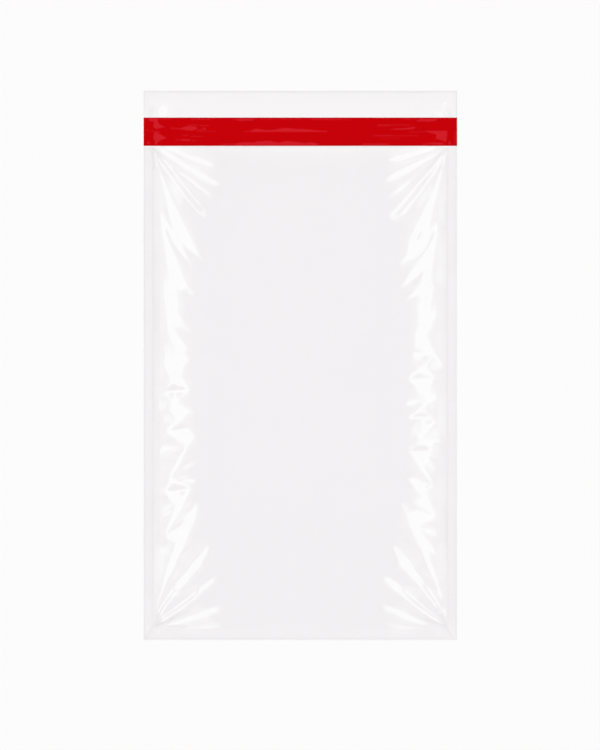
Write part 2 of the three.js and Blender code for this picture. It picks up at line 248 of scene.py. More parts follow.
# Facets that catch the full light
FACETS = {
    "top_left_1": [(166, 148.4), (171, 149.5), (179, 151.3), (191, 155.5), (203, 159.5), (213, 164),
        (215.5, 166.5), (211, 168), (200, 164), (187, 158.5), (175, 152.7), (168, 149.8)],
    "top_left_2": [(159.5, 150.5), (168, 152), (175, 156), (181, 161), (194, 169), (208, 177),
        (218, 182.5), (220.5, 185), (215, 186.5), (203, 181), (190, 172), (175, 162), (168, 157),
        (162, 153)],
    "top_left_3": [(176, 170.5), (185, 175), (193, 180.5), (206, 190.5), (212, 196), (211, 197.5),
        (198, 188.5), (184, 177)],
    "top_left_5": [(157.5, 166), (161.5, 175), (167, 188), (173, 202.5), (180, 217), (187, 231),
        (194.5, 244.5), (199, 254.5), (195, 254.5), (186, 247), (181, 243), (174, 233.5), (170.5, 220),
        (166.5, 200), (162, 182)],
    "left_lobe": [(160.5, 212), (165, 217), (171, 228), (178, 238), (181, 243), (184, 250), (189, 260.5),
        (182.5, 256), (177, 247.5), (171, 237), (167, 228), (165, 231), (161, 219)],
    "left_band_1": [(161, 217), (164.5, 226), (166.5, 233), (170, 245), (176, 259), (184, 279),
        (188.5, 288), (183, 289.5), (178, 289), (176, 292), (178, 300), (179, 305), (177, 311),
        (181, 318), (183, 322), (182, 326.5), (175, 326.5), (174.5, 329), (178.5, 337), (187, 348),
        (185, 353), (175, 354), (175, 349), (171, 340), (168, 328), (166, 310), (164.5, 295), (164, 285),
        (165, 281), (169.5, 277), (168, 268), (165.5, 250), (163, 236)],
    "left_body": [(175, 349), (184, 349), (185, 356), (189.5, 359), (183.5, 366), (181.5, 376),
        (184.5, 382), (189, 388), (189, 391), (185, 395), (178.5, 400), (177.5, 403), (180, 405),
        (187, 409), (188, 412), (185, 417), (180.5, 421), (171, 430), (166, 431.5), (169, 426.5),
        (175.5, 420), (174, 416.5), (170, 410), (172, 402), (164.5, 394), (165, 390.5), (170.5, 381),
        (169.5, 375), (164.5, 364), (165, 356), (172, 355)],
    "left_blob": [(166, 430.5), (176, 430), (185, 428), (188.5, 428.5), (194.5, 436.5), (193, 440),
        (187.5, 446), (187.5, 448), (183.5, 456), (180, 464.5), (174.5, 471.5), (171.5, 478), (170, 478),
        (172, 471), (177.5, 460), (185, 448), (184.5, 443.5), (177, 439.5), (169, 434.5)],
    "left_tail": [(170, 478), (172, 478), (183, 482.3), (189.5, 486.5), (190.5, 490), (186.5, 499),
        (180, 510), (173, 523), (166, 533.5), (165, 534), (167, 528), (172.5, 516), (176, 505),
        (169.5, 499), (165, 492), (165.5, 489), (168, 485)],
    "bottom_left_1": [(193.5, 506.5), (196, 505), (198, 507.5), (195.5, 517), (190, 531), (184, 546),
        (174.5, 566), (166.5, 582), (161, 595), (158, 604), (160.5, 594), (164.5, 579), (168, 566),
        (175, 547), (175.5, 541), (168, 539), (165.3, 536), (172, 531), (180.5, 527), (184, 521),
        (183, 519.5), (191.5, 510)],
    "bottom_left_2": [(203, 550.5), (206, 547.7), (209.3, 547.3), (209.3, 551.3), (205.5, 558.5),
        (197, 570), (187, 581.5), (180, 588.5), (177, 589.5), (174, 587.5), (183.5, 574), (192.5, 563.5)],
    "bottom_left_3": [(199, 588.5), (205, 583.5), (212, 578.5), (215, 578), (213, 582.5), (205, 589.5),
        (198, 594)],
    "bottom_left_4": [(165, 625), (176, 621.3), (190, 616.8), (202, 611.8), (212, 608), (217, 609),
        (214, 612.5), (205, 616.3), (193, 620.3), (178, 624)],
    "top_right_1": [(438, 148), (430, 148.3), (420, 151.2), (408, 153.8), (394, 157), (389, 160),
        (391, 162.3), (399, 162), (410, 158.6), (420, 155), (430, 150.8)],
    "top_right_2": [(442, 151.5), (432, 155), (420, 160.6), (408, 167), (396, 172.5), (387, 178.5),
        (386.5, 181.5), (389.5, 182.3), (395, 180.5), (404, 175.5), (419, 166), (429, 159.7), (439, 153.5)],
    "top_right_3": [(412, 178.6), (403, 185), (394, 192.3), (393, 194.5), (396, 194.3), (404, 188.8),
        (411, 181.5)],
    "top_right_4_upper": [(415, 187.5), (406, 197.5), (396.5, 208), (391, 213.5), (391, 216), (394, 215),
        (402, 206.5), (410, 196.5), (416, 188)],
    "top_right_4_lower": [(417, 195.5), (407, 206.5), (400, 215), (399, 217.5), (404.5, 214.5),
        (412.5, 204), (419, 195)],
    "top_right_5": [(443, 166), (438.5, 177), (433.5, 190), (426.5, 205), (419.5, 220), (413, 232),
        (408.5, 244), (408.5, 250), (403, 262.5), (410, 260.5), (418, 256.8), (424, 250.5), (428, 242),
        (430.5, 233), (429, 229), (430.5, 220), (433.2, 208), (438, 189), (441, 175)],
    "right_link": [(434.5, 224), (437.2, 224.5), (437, 232.5), (436.5, 240), (434.5, 240), (434.5, 233),
        (428.5, 231.5), (432, 228)],
    "right_lobe": [(435, 236), (429.5, 245), (423.5, 254.8), (416.5, 264), (409.5, 273.5), (403.5, 284),
        (407, 284), (414.5, 279), (424.5, 270.3), (431.5, 270), (434, 254), (436, 239)],
    "right_band": [(424.5, 269), (420.3, 285), (414.5, 291), (408.5, 297), (410, 298), (414, 296.8),
        (419.5, 295.5), (420.2, 302), (417.3, 308), (419.5, 310.5), (417.2, 320), (419.8, 324.5),
        (415, 334.5), (415, 347.5), (422, 351.5), (425.5, 354), (431, 355), (435, 354), (431, 346),
        (425.7, 335.5), (431.5, 325.5), (436, 315), (435.5, 310.3), (430.3, 313.5), (430.5, 303),
        (433.8, 286), (430, 279.5), (431.5, 269)],
    "right_wing": [(433, 353.5), (436.5, 356), (442, 363), (442, 365), (436, 359), (432, 357.5),
        (430, 360.5), (425.5, 366.5), (423, 366.5), (427.5, 361.3), (430.8, 357)],
    "right_patch": [(412, 354), (414, 352.5), (420, 352.5), (426, 354), (424, 356.5), (420, 359),
        (414, 358.5)],
    "right_diamond": [(424.5, 364), (418, 369.3), (411.5, 374), (408.5, 379.3), (414.5, 386.5),
        (418.5, 392.8), (424.5, 395.8), (429, 395.8), (436, 398.5), (436, 396.5), (430.3, 393),
        (430.8, 385), (434, 378), (432, 373.8), (425.5, 366.5)],
    "right_streak": [(406.5, 403), (409, 400.7), (417.5, 400), (416.5, 403.5), (408, 405.6)],
    "right_neck": [(436, 396), (436, 399), (426.5, 405), (424.3, 409), (431.5, 417), (428, 420),
        (424, 420.5), (420, 418.8), (409.5, 418.7), (408.5, 417.3), (416, 411.2), (421, 407), (427, 400)],
    "right_fin": [(429, 418.7), (432, 418.2), (435.5, 422), (432.5, 426), (425.2, 434), (421.5, 439.3),
        (428, 438.7), (437, 439.8), (433.5, 445), (431, 449.8), (425.5, 446.3), (418, 444.5),
        (416.8, 437), (421.5, 428), (421, 419.5), (424.5, 420.5), (425.5, 424.5), (432.5, 422.3)],
    "right_tail": [(409, 451), (420, 450.9), (432, 450), (429.7, 457), (428.3, 464.3), (422.7, 464),
        (427, 472.5), (433, 484), (431, 483), (422.5, 471.5), (415, 460)],
    "right_fish": [(408.5, 479.5), (411, 477.7), (415, 477.6), (421.5, 481.7), (429.5, 484.6), (433, 484),
        (433, 486.3), (427.5, 490), (426.2, 492.5), (428.5, 499), (432.5, 508), (435.3, 513),
        (433.5, 519), (432.2, 513.5), (427, 508.5), (420, 505.3), (415.5, 502.5), (421.5, 498.5),
        (420.5, 493.5), (414.5, 488)],
    "bottom_right_1": [(405, 513), (416, 511.5), (422, 511.5), (429.5, 516), (435.3, 513), (432.5, 520.5),
        (423, 522.2), (419.5, 526.5), (421.5, 532), (428, 540), (435, 550), (434, 552), (428.3, 551),
        (430.2, 560), (434, 570), (436.8, 579), (439.7, 589), (443.5, 605), (445, 611), (441.3, 600.5),
        (436, 584), (429, 569), (421, 549.5), (412.3, 531), (408.3, 519)],
    "bottom_right_2": [(389.5, 546.5), (394, 545), (401, 551), (409.5, 560), (415.5, 569.5), (422, 580),
        (428.5, 588.5), (423.5, 584), (421.5, 582), (423, 589.5), (413.5, 580), (400.5, 565)],
    "bottom_right_3": [(384.5, 578.5), (388, 577), (401, 585.3), (413, 596), (405.5, 593.3),
        (409.5, 601.5), (395, 590), (387.5, 583.5)],
    "bottom_right_4": [(387, 607.5), (392, 607.5), (401, 611.3), (413, 617), (419, 620.3), (418, 622.5),
        (407, 619.6), (396, 614), (388, 610.3)],
}

# Narrow facets along the crests of the creases: a width and a line, in pixels
CRESTS = [
    # Top left
    (1.1, [(155.3, 155), (157.5, 166)]),
    (1.6, [(163.5, 159), (172, 170), (181, 182), (192, 195.5), (202, 207.5)]),
    (1.7, [(158.5, 159.5), (165, 169), (174, 181), (186, 198), (198, 212), (201, 215.5)]),
    # Bottom left
    (1.2, [(160.5, 594), (158, 603), (156.5, 609)]),
    (1.5, [(174, 587.5), (169, 595), (162.5, 604.5), (157.5, 613.5)]),
    (1.5, [(180, 588), (174, 596), (167, 604.5), (160.5, 613.7)]),
    (1.9, [(200, 588.5), (190, 596.5), (180, 604.3), (170, 611.8), (162, 617.7)]),
    (1.6, [(203, 590), (195, 597.7), (185, 605.5), (175, 612.5), (165, 619.3), (161, 622)]),
    # Top right
    (1.6, [(442, 156.5), (438, 162), (431, 170.5), (423, 179.3), (415, 188)]),
    (1.6, [(444, 156.5), (440.5, 162.5), (435, 171.5), (428, 181.5), (422, 189.3), (417.5, 196)]),
    (1.2, [(446.2, 153), (445, 158), (443, 166)]),
    # Bottom right
    (1.4, [(443.5, 605), (446, 615)]),
    (1.8, [(419.5, 585), (427.3, 595), (434, 604), (440, 613)]),
    (1.8, [(427, 586), (433, 595), (439, 605), (444.5, 615)]),
    (1.9, [(403, 595.5), (414.5, 605), (428.5, 615), (441, 623)]),
    (1.8, [(405, 591), (416.3, 600), (427.5, 610), (437, 618.5)]),
]

# Flat spots inside the facets: how bright each is, and its outline
HOLLOWS = [
    # Left
    (0, [(164.5, 391), (167.5, 387.5), (171.5, 384.5), (174.5, 384.2), (178, 386), (186, 387.2),
        (184.5, 389.6), (178, 389.6), (172, 390.5)]),
    (0.12, [(162, 205), (164, 198), (167.3, 209.8), (171.3, 222.6), (173.4, 232), (170.7, 228),
        (165, 218.5), (162, 211.5)]),
    (0.06, [(165.3, 227), (167.3, 228.5), (170.5, 238.5), (176.5, 248.4), (183.5, 257.3), (189.5, 264.5),
        (184, 266), (177.5, 257), (170.7, 244.4), (166.7, 235.5)]),
    (0.08, [(181.5, 242.5), (183.5, 245), (187.5, 249.3), (195, 255.3), (201, 261), (195, 263),
        (190, 258.5), (184.5, 250.5)]),
    (0.1, [(168, 531.5), (174, 526.5), (180, 523.5), (183.5, 519.8), (184, 521.3), (180.5, 526.3),
        (172, 530.8)]),
    (0.2, [(165.8, 393.6), (170, 392.8), (174, 394), (174, 397.5), (171.5, 399.5), (168.5, 396.5)]),
    (0.25, [(177, 391.5), (182, 392.3), (185, 393.3), (182, 396), (179, 398.3), (177, 397)]),
    (0, [(169.5, 430), (175, 427), (180, 424.3), (184, 423.8), (188, 426.3), (181, 429)]),
    (0, [(165.8, 491.2), (170.5, 487), (172, 483.8), (180, 484.6), (189.5, 487.4), (180, 489.6)]),
    (0.15, [(179.5, 494), (182, 491.5), (186, 490.5), (186, 492.5), (182, 495)]),
    # Top left
    (0.1, [(163, 149.2), (168, 150.2), (176, 153.8), (186, 159), (180, 158.5), (174, 154.8), (168, 151.5)]),
    # Top right
    (0.1, [(421, 231), (417.3, 235.5), (415.8, 241), (418.8, 240.8), (421.8, 234)]),
    (0.1, [(434, 216), (436.5, 221), (433, 225.5), (429.8, 228.5), (430.5, 222)]),
    (0.05, [(433.3, 230.5), (429.5, 240.5), (425.5, 248.6), (420, 255), (413, 260.6), (405, 265),
        (412, 263.8), (418.5, 259.8), (424.5, 253.5), (429.7, 244.5), (434.3, 235), (435.5, 231)]),
    # Right
    (0, [(423.5, 271.5), (417, 277), (410, 284), (413, 287), (419, 281), (422.5, 275)]),
    (0.1, [(413, 347.5), (416, 348.3), (422, 351.5), (425.5, 353.8), (420, 353), (414, 351.5)]),
    (0.35, [(425.5, 356.5), (427, 354.8), (431, 354.8), (430, 357)]),
    (0.05, [(410, 379), (414, 375.5), (418.5, 372.6), (422, 373.3), (426, 375.3), (433, 376.4),
        (433, 378), (424, 378.2), (416, 379.2)]),
    (0.12, [(412, 417), (416, 413.3), (420, 412.3), (425, 412.6), (430, 415.2), (428, 416.5),
        (420, 416.8)]),
    (0.12, [(425.5, 420), (430, 419.8), (433.5, 421.8), (430, 424), (427, 424.2)]),
    (0.02, [(411, 450.2), (417, 447), (420, 445.3), (425, 446.3), (431.5, 449.6), (425, 450.5)]),
    (0.15, [(424, 487), (427, 485), (431.5, 486), (427, 489)]),
    (0.3, [(406, 510.5), (413, 508), (420, 507), (426, 508.5), (431.5, 512.5), (430, 515), (424, 511.3),
        (416, 509.8), (408, 511.5)]),
]

# Darker marks straight down the pouch: the welded bands and their seams, and painted shade along the
# cut edges and beside the welds: a column and a width in pixels, and how dark between which rows
UPRIGHT_MARKS_AND_SHADE = {
    (144.5, 1.1): [(0.34, 147, 640)],
    (148.4, 8.6): [(0.065, 147, 638)],
    (148.5, 7): [(0.05, 190, 218), (0.04, 260, 274), (0.04, 312, 327), (0.03, 424, 596), (0.02, 460, 524)],
    (152.6, 1.3): [(0.22, 560, 628)],
    (153, 1.9): [(0.25, 168, 560)],
    (153.4, 1.4): [(0.07, 246, 420)],
    (155, 3): [(0.08, 246, 268), (0.06, 288, 348), (0.04, 404, 422)],
    (157, 6): [(0.06, 150, 630), (0.07, 298, 328)],
    (443.5, 6): [(0.04, 150, 630)],
    (445.5, 3): [(0.08, 204, 230), (0.06, 288, 328)],
    (446, 3): [(0.06, 190, 560)],
    (446.5, 3): [(0.13, 512, 546)],
    (447.6, 1.2): [(0.3, 180, 560)],
    (448, 1.4): [(0.18, 560, 627)],
    (452, 7): [(0.05, 190, 218), (0.04, 244, 272), (0.04, 314, 328), (0.03, 370, 398), (0.04, 436, 474),
        (0.04, 508, 616)],
    (452, 8.6): [(0.065, 147, 638)],
    (456, 1.9): [(0.15, 147, 640)],
}

# Painted shade along other creases and edges, and below nought painted highlight: how dark, or below
# nought how light, a width and a line, in pixels
PAINTED_SHADE_AND_HIGHLIGHTS = [
    # Bottom
    (0.24, 1.1, [(144, 638.4), (457, 638.4)]),
    (0.05, 9, [(154, 633.5), (190, 633.5)]),
    (0.05, 9, [(447, 633.5), (410, 633.5)]),
    # Left
    (0.3, 2.6, [(153, 148), (153.5, 168)]),
    (0.2, 1.8, [(146.5, 147), (150, 149.5), (152.5, 155)]),
    # Right
    (0.2, 2.2, [(446.5, 148), (447.5, 162), (447.8, 182)]),
    # Top left
    (0.25, 2.4, [(154.5, 149), (160, 155), (164, 159)]),
    (0.2, 1.1, [(161, 160), (168, 167.5), (174, 172.5)]),
    (0.2, 1.6, [(156.5, 156), (161, 166), (165, 174)]),
    # Top right
    (0.25, 1.8, [(445.5, 149.8), (440, 154), (435, 160)]),
    (0.2, 1.4, [(435, 160), (430.3, 167), (426, 170.3)]),
    (0.18, 1.5, [(444, 157.5), (440.5, 163), (438.5, 169)]),
    # Bottom left
    (0.36, 3, [(156, 625.5), (165, 621.5), (173, 618.5)]),
    (0.22, 4.5, [(171, 617.5), (180, 613.5), (188, 611)]),
    (0.5, 1.4, [(169, 626.3), (186, 626.8)]),
    (0.22, 1.2, [(154.5, 623), (158, 615.5), (163, 607)]),
    (0.3, 1.2, [(156, 624), (164, 617), (174, 609.5)]),
    (0.28, 1.6, [(153, 627), (146, 637)]),
    (-0.12, 3, [(148, 626), (147, 631)]),
    (-0.12, 4, [(157, 632), (163, 629)]),
    (-0.08, 5, [(182, 632), (196, 631)]),
    # Bottom right
    (0.24, 3.4, [(445, 626), (437, 623.3), (428, 619.8)]),
    (0.16, 3.4, [(428, 619.8), (421, 616.3), (413, 613)]),
    (0.2, 1.2, [(402, 622.5), (409, 625), (427, 626.5)]),
    (0.2, 2, [(441.5, 614), (443.5, 619.5), (446.5, 626)]),
    (0.18, 1.5, [(433.5, 605.5), (441, 617)]),
    (0.2, 1.6, [(446, 627), (452.5, 637)]),
    (-0.12, 1.6, [(447.8, 621), (449.5, 627), (455.5, 637.5)]),
    (-0.12, 4, [(433, 629), (441, 632.5)]),
    (-0.08, 5, [(394, 631), (412, 632)]),
]

# Painted shade along the lip's creases and edges, and below nought painted highlights, in the same way
LIP_PAINTED_SHADE_AND_HIGHLIGHTS = [
    # Top
    (0.36, 1.1, [(143, 91.7), (457, 91.7)]),
    (0.16, 1.4, [(168, 92.3), (428, 92.3)]),
    # Left
    (0.7, 1, [(143.9, 91), (143.9, 108)]),
    (0.2, 1, [(144.3, 108), (144.3, 147)]),
    (0.08, 5, [(146, 94), (156, 93.5)]),
    (0.05, 4, [(146.5, 97), (146.5, 112)]),
    (0.2, 5, [(152, 108.5), (150.5, 115)]),
    (-0.4, 7, [(164, 107.5), (161.5, 116)]),
    (-0.06, 14, [(168, 107), (167, 114)]),
    # Right
    (0.6, 1, [(456.5, 91), (456.5, 147)]),
    (0.14, 3.2, [(448.5, 110.5), (449.5, 115)]),
    (0.05, 6, [(449, 110), (449, 114)]),
    (-0.4, 4, [(436.5, 113), (441, 115.5)]),
    (-0.4, 3, [(445.5, 102.5), (443.5, 108.5)]),
    (-0.15, 1.2, [(445, 111), (448, 116)]),
    (0.05, 2.5, [(454.5, 92), (454.5, 108)]),
]

# Raised spots of the lip: a height in metres, a radius in pixels and a place
LIP_DIMPLES = {
    "left": (0.8 * MM, 3.7, (162.5, 111.3)),
    "right": (0.35 * MM, 2, (439, 114)),
    "right_top": (0.45 * MM, 2, (444.3, 105)),
}

# Where the liner is loose from the adhesive: raised, with a painted lighter sheen; how loose, and an
# outline
LOOSE_SHEEN_PATCHES = [
    # Left end
    (1, [(148, 119.3), (151, 118.2), (157.7, 118.2), (157.7, 121.5), (154.5, 121.7), (150, 121)]),
    (1, [(154.3, 121), (157.6, 121), (159, 124), (162, 126), (164.8, 127.2), (160, 128), (156.4, 129),
        (153.2, 127), (153.8, 124)]),
    (1, [(154, 133), (156.4, 131.5), (159, 133.8), (166.4, 138), (160.8, 140), (157.8, 142), (157, 144.5),
        (155, 144.5), (155, 141), (153.3, 138)]),
    (0.7, [(147.3, 142), (149.5, 141.2), (150, 144), (147.5, 144)]),
    # Middle
    (1, [(180, 128.8), (183.5, 127.2), (187, 126.5), (190.5, 126), (195.6, 126.6), (197.6, 128.5),
        (193, 130.6), (186.7, 130.4)]),
    (0.8, [(203, 128), (204.4, 127), (206.5, 129.5), (204.5, 130.3)]),
    (0.9, [(230, 118.8), (255.5, 118.8), (252.4, 120.6), (240, 120.9), (236, 120)]),
    (1, [(250, 131.8), (252.6, 129.8), (256.4, 128.8), (262.7, 129.9), (271.6, 130.3), (279.2, 128.9),
        (286, 127.9), (294.3, 128.9), (308, 129.4), (314.5, 130.5), (327, 131), (327, 131.8)]),
    (1, [(234, 145.8), (236, 143.6), (242.5, 142.4), (254, 142.7), (257.7, 141.4), (270.3, 141.1),
        (279.2, 143), (283, 141.7), (288, 141.1), (298, 142.3), (304.4, 143.5), (310.7, 142.3),
        (318.3, 144), (318.3, 145.8)]),
    # Right end
    (0.9, [(388, 129.6), (396, 128.6), (404, 128.2), (410, 127.6), (413.5, 126.7), (415.8, 127.9),
        (412, 129.2), (402, 129.7)]),
    (0.9, [(415.8, 120.4), (421, 119), (437.5, 118.7), (435.4, 120.8), (428.4, 121.6), (418.3, 121.3)]),
    (1, [(424, 131), (437, 131), (447.2, 131), (446.8, 137), (446.2, 142), (440.5, 139.9), (435.3, 138.5),
        (437, 136), (435.5, 134), (430, 132.8)]),
    (0.9, [(427.2, 143), (441, 142.7), (446.3, 144.4), (434, 144.6)]),
    (0.9, [(449.3, 139.8), (451.3, 144.5), (448.5, 144.5)]),
]

# Narrow loose lines of the liner, raised, with a painted lighter sheen: how loose, a width and a line
LOOSE_SHEEN_LINES = [
    # Left end
    (0.5, 1, [(145, 130), (148, 130.3)]),
    (0.5, 1, [(151, 131), (160, 131.9)]),
    # Middle
    (0.6, 1.2, [(171, 128.2), (180, 128.9)]),
    (0.6, 1, [(197.5, 130.5), (203, 129.2)]),
    (0.7, 0.9, [(187.4, 125), (198, 125)]),
    (0.7, 0.9, [(199.6, 125.6), (208.8, 125.6)]),
    (0.5, 0.9, [(197, 131.4), (215.8, 131.4)]),
    (0.6, 0.9, [(183, 135.5), (188, 135.5)]),
    (0.6, 0.9, [(192, 136.4), (202, 136.4)]),
    (0.6, 0.9, [(176.4, 140), (182, 139.7)]),
    (0.9, 1.4, [(182, 139.8), (189.5, 140.2)]),
    (0.6, 0.9, [(192, 140.8), (195.6, 140.8)]),
    (0.4, 0.9, [(158, 119.3), (171, 119.3)]),
    (0.8, 1, [(191, 119.4), (211, 119.4)]),
    (0.5, 0.9, [(260, 119.4), (275, 119.4)]),
    (0.5, 0.9, [(279, 119.2), (302, 119.2)]),
    (0.8, 1.1, [(311, 119.4), (341, 119.4)]),
    (0.5, 0.9, [(341, 119.3), (351, 119.3)]),
    (0.5, 0.9, [(403, 119), (416, 119)]),
    (0.6, 0.9, [(244.4, 131.4), (252, 131.4)]),
    (0.6, 1, [(222, 144.4), (235, 144.4)]),
    (0.8, 1.2, [(363, 144.4), (388.6, 144.4)]),
    (0.6, 1, [(422.7, 144.2), (430, 144)]),
    # Right end
    (0.8, 1, [(378, 125.4), (389.5, 125.4)]),
    (0.6, 0.9, [(389.5, 125), (410.7, 125)]),
    (0.5, 0.9, [(410, 131.9), (424, 131.9)]),
    (0.8, 1, [(374, 135.7), (390.5, 135.7)]),
    (0.5, 0.9, [(390.5, 135.7), (417, 135.7)]),
    (0.4, 0.9, [(380, 138.3), (399, 138.5)]),
    (0.7, 0.9, [(454.8, 131.7), (454.8, 144.3)]),
]

film_low, film_high = (np.array(corner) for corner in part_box("film_pouch"))
liner_low, liner_high = (np.array(corner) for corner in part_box("release_liner"))
FILM = float(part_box("adhesive_strip")[0][2])
HALF_WIDTH = float(film_high[0])
INSIDE = HALF_WIDTH - WELD
BOTTOM = float(film_low[1])
BETWEEN_WALLS = 1.5 * FILM


def cad_triangles(node):
    """The corners of a node's triangles, as an array of triangle, corner and axis."""
    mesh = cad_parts[node].data
    mesh.calc_loop_triangles()
    points = np.zeros(len(mesh.vertices) * 3)
    corners = np.zeros(len(mesh.loop_triangles) * 3, int)
    mesh.vertices.foreach_get("co", points)
    mesh.loop_triangles.foreach_get("vertices", corners)
    return points.reshape(-1, 3)[corners.reshape(-1, 3)]


def front_wall():
    """The triangles of the pouch's front panel that face up, with the welds."""
    triangles = cad_triangles("film_pouch")
    a, b, c = (triangles[:, k] for k in range(3))
    up = np.cross(b - a, c - a)[:, 2] > 0
    above = triangles[:, :, 2].min(axis=1) > BETWEEN_WALLS
    return triangles[up & above]


def steps(start, end, step):
    """Evenly spaced places from start to end, about step apart."""
    return np.linspace(start, end, max(2, round(abs(end - start) / step) + 1))


def edged_steps(start, end, step):
    """Evenly spaced places like those of steps, and closer together near both ends."""
    near = steps(0, EDGE_REACH, EDGE_STEP)
    middle = steps(start + EDGE_REACH, end - EDGE_REACH, step)
    return np.concatenate([start + near[:-1], middle, end - near[-2::-1]])


def span_between(places, corners):
    """Where the places that lie between the lowest and the highest corner start and end."""
    return np.searchsorted(places, [min(corners) - LEAST_LENGTH, max(corners) + LEAST_LENGTH])


def heights_of(triangles, xs, ys):
    """The height of a surface of triangles at each place of a grid, as rows of ys."""
    heights = np.full((len(ys), len(xs)), 2 * FILM)
    for (ax, ay, az), (bx, by, bz), (cx, cy, cz) in triangles:
        area = (bx - ax) * (cy - ay) - (cx - ax) * (by - ay)
        i0, i1 = span_between(xs, (ax, bx, cx))
        j0, j1 = span_between(ys, (ay, by, cy))
        if abs(area) < LEAST_AREA or i0 == i1 or j0 == j1:
            continue
        x, y = np.meshgrid(xs[i0:i1], ys[j0:j1])
        b_share = ((x - ax) * (cy - ay) - (cx - ax) * (y - ay)) / area
        c_share = ((bx - ax) * (y - ay) - (x - ax) * (by - ay)) / area
        inside = (b_share >= -LEAST_SHARE) & (c_share >= -LEAST_SHARE)
        inside &= b_share + c_share <= 1 + LEAST_SHARE
        z = az + b_share * (bz - az) + c_share * (cz - az)
        heights[j0:j1, i0:i1][inside] = z[inside]
    return heights


def to_pixels(x, y):
    """Places on the bag as the photograph's pixels."""
    return MIDDLE_PIXEL[0] + x / PIXEL, MIDDLE_PIXEL[1] - y / PIXEL


def inside_outline(x, y, outline):
    """Whether each place is inside an outline."""
    result = np.zeros(x.shape, bool)
    for (x0, y0), (x1, y1) in zip(outline, outline[1:] + outline[:1]):
        if y0 == y1:
            continue
        crosses = (y0 > y) != (y1 > y)
        result ^= crosses & (x < x0 + (y - y0) * (x1 - x0) / (y1 - y0))
    return result


def filled(x, y, outline):
    """How much of the pixel around each place an outline fills."""
    reach = np.array(outline)
    near = (x > reach[:, 0].min() - 1) & (x < reach[:, 0].max() + 1)
    near &= (y > reach[:, 1].min() - 1) & (y < reach[:, 1].max() + 1)
    share = np.zeros(x.shape)
    offsets = (np.arange(SAMPLES) + 0.5) / SAMPLES - 0.5
    for right in offsets:
        for down in offsets:
            share[near] += inside_outline(x[near] + right, y[near] + down, outline)
    return share / SAMPLES ** 2


def stroked(x, y, line, width):
    """How much of the pixel around each place a drawn line covers."""
    nearest = np.full(x.shape, np.inf)
    for (x0, y0), (x1, y1) in zip(line, line[1:]):
        along_x, along_y = x1 - x0, y1 - y0
        share = ((x - x0) * along_x + (y - y0) * along_y) / (along_x ** 2 + along_y ** 2)
        share = np.clip(share, 0, 1)
        nearest = np.minimum(nearest, np.hypot(x - x0 - share * along_x, y - y0 - share * along_y))
    return np.clip(0.5 + width / 2 - nearest, 0, 1) * min(1, width)


def softened(values, passes):
    """The values spread over about a cell for each pass."""
    for _ in range(passes):
        padded = np.pad(values, 1, mode="edge")
        values = (padded[:-2] + 2 * padded[1:-1] + padded[2:])[:, 1:-1] / 4
        padded = np.pad(values, 1, mode="edge")
        values = (padded[:, :-2] + 2 * padded[:, 1:-1] + padded[:, 2:])[1:-1] / 4
    return values


def levels_of(areas, x, y):
    """The highest level that the areas, each a level and an outline, give each pixel."""
    levels = np.zeros(x.shape)
    for level, outline in areas:
        levels = np.maximum(levels, level * filled(x, y, outline))
    return levels


def brightness(x, y):
    """How much light the front film catches at each pixel, from 0 on the plain film to 1 on a facet."""
    swells = softened(levels_of(SWELLS, x, y), SWELL_PASSES)
    skirts = softened(levels_of(SKIRTS, x, y), SKIRT_PASSES)
    facets = levels_of([(1, outline) for outline in FACETS.values()], x, y)
    halo = HALO * softened(facets, HALO_PASSES)
    light = np.max([swells, skirts, halo, facets], axis=0)
    for level, outline in HOLLOWS:
        share = filled(x, y, outline)
        light = light * (1 - share) + level * share
    for width, line in CRESTS:
        light = np.maximum(light, stroked(x, y, line, width))
    return light


def sine_waves(values, axis):
    """The strengths of the sine waves that make up the values along an axis."""
    values = np.moveaxis(values, axis, -1)
    count = values.shape[-1]
    gap = np.zeros(values.shape[:-1] + (1,))
    odd = np.concatenate([gap, values, gap, -values[..., ::-1]], axis=-1)
    return np.moveaxis(-np.fft.fft(odd, axis=-1).imag[..., 1:count + 1], -1, axis)


def surface_from(bend):
    """The heights whose bend is given: none at the welds and the bottom, and level at the mouth."""
    double = np.concatenate([bend[::-1], bend])
    rows, columns = double.shape
    row_waves = 2 - 2 * np.cos(np.pi * np.arange(1, rows + 1) / (rows + 1))
    column_waves = 2 - 2 * np.cos(np.pi * np.arange(1, columns + 1) / (columns + 1))
    waves = sine_waves(sine_waves(double, 0), 1)
    waves /= -(row_waves[:, None] + column_waves[None, :])
    heights = sine_waves(sine_waves(waves, 0), 1) / (4 * (rows + 1) * (columns + 1))
    return heights[rows // 2:]


def slopes_of(heights):
    """The slopes across and down at each cell, from the rows above and below and the columns beside."""
    framed = np.pad(heights, 1)
    framed[0] = framed[1]
    return (framed[1:-1, 2:] - framed[1:-1, :-2]) / 2, (framed[2:, 1:-1] - framed[:-2, 1:-1]) / 2


def bend_of(across, down):
    """How the slopes change from cell to cell."""
    right = np.pad(across, ((0, 0), (1, 1)), mode="edge")
    below = np.pad(down, ((1, 1), (0, 0)), mode="edge")
    below[0] = -below[1]
    return (right[:, 2:] - right[:, :-2]) / 2 + (below[2:] - below[:-2]) / 2


def folded(heights, light):
    """The heights, in cells, turned into facets: steep where the film catches light and flat elsewhere.

    Each pass sets the slopes right and finds the nearest surface.
    """
    lit = light > LEAST_LIGHT
    steep = GLOW_SLOPE + (STEEP_SLOPE - GLOW_SLOPE) * light
    missed = np.zeros((2, *heights.shape))
    for number in range(PLAIN_PASSES + CARRY_PASSES):
        slopes = np.stack(slopes_of(heights)) + missed
        slope = np.hypot(*slopes) + LEAST_SLOPE
        wanted = slopes * np.where(lit, steep, np.minimum(slope, PLAIN_SLOPE)) / slope
        missed = (slopes - wanted) * (CARRY if number >= PLAIN_PASSES else 0)
        heights = np.maximum(surface_from(bend_of(*(wanted - missed))), 0)
    return heights


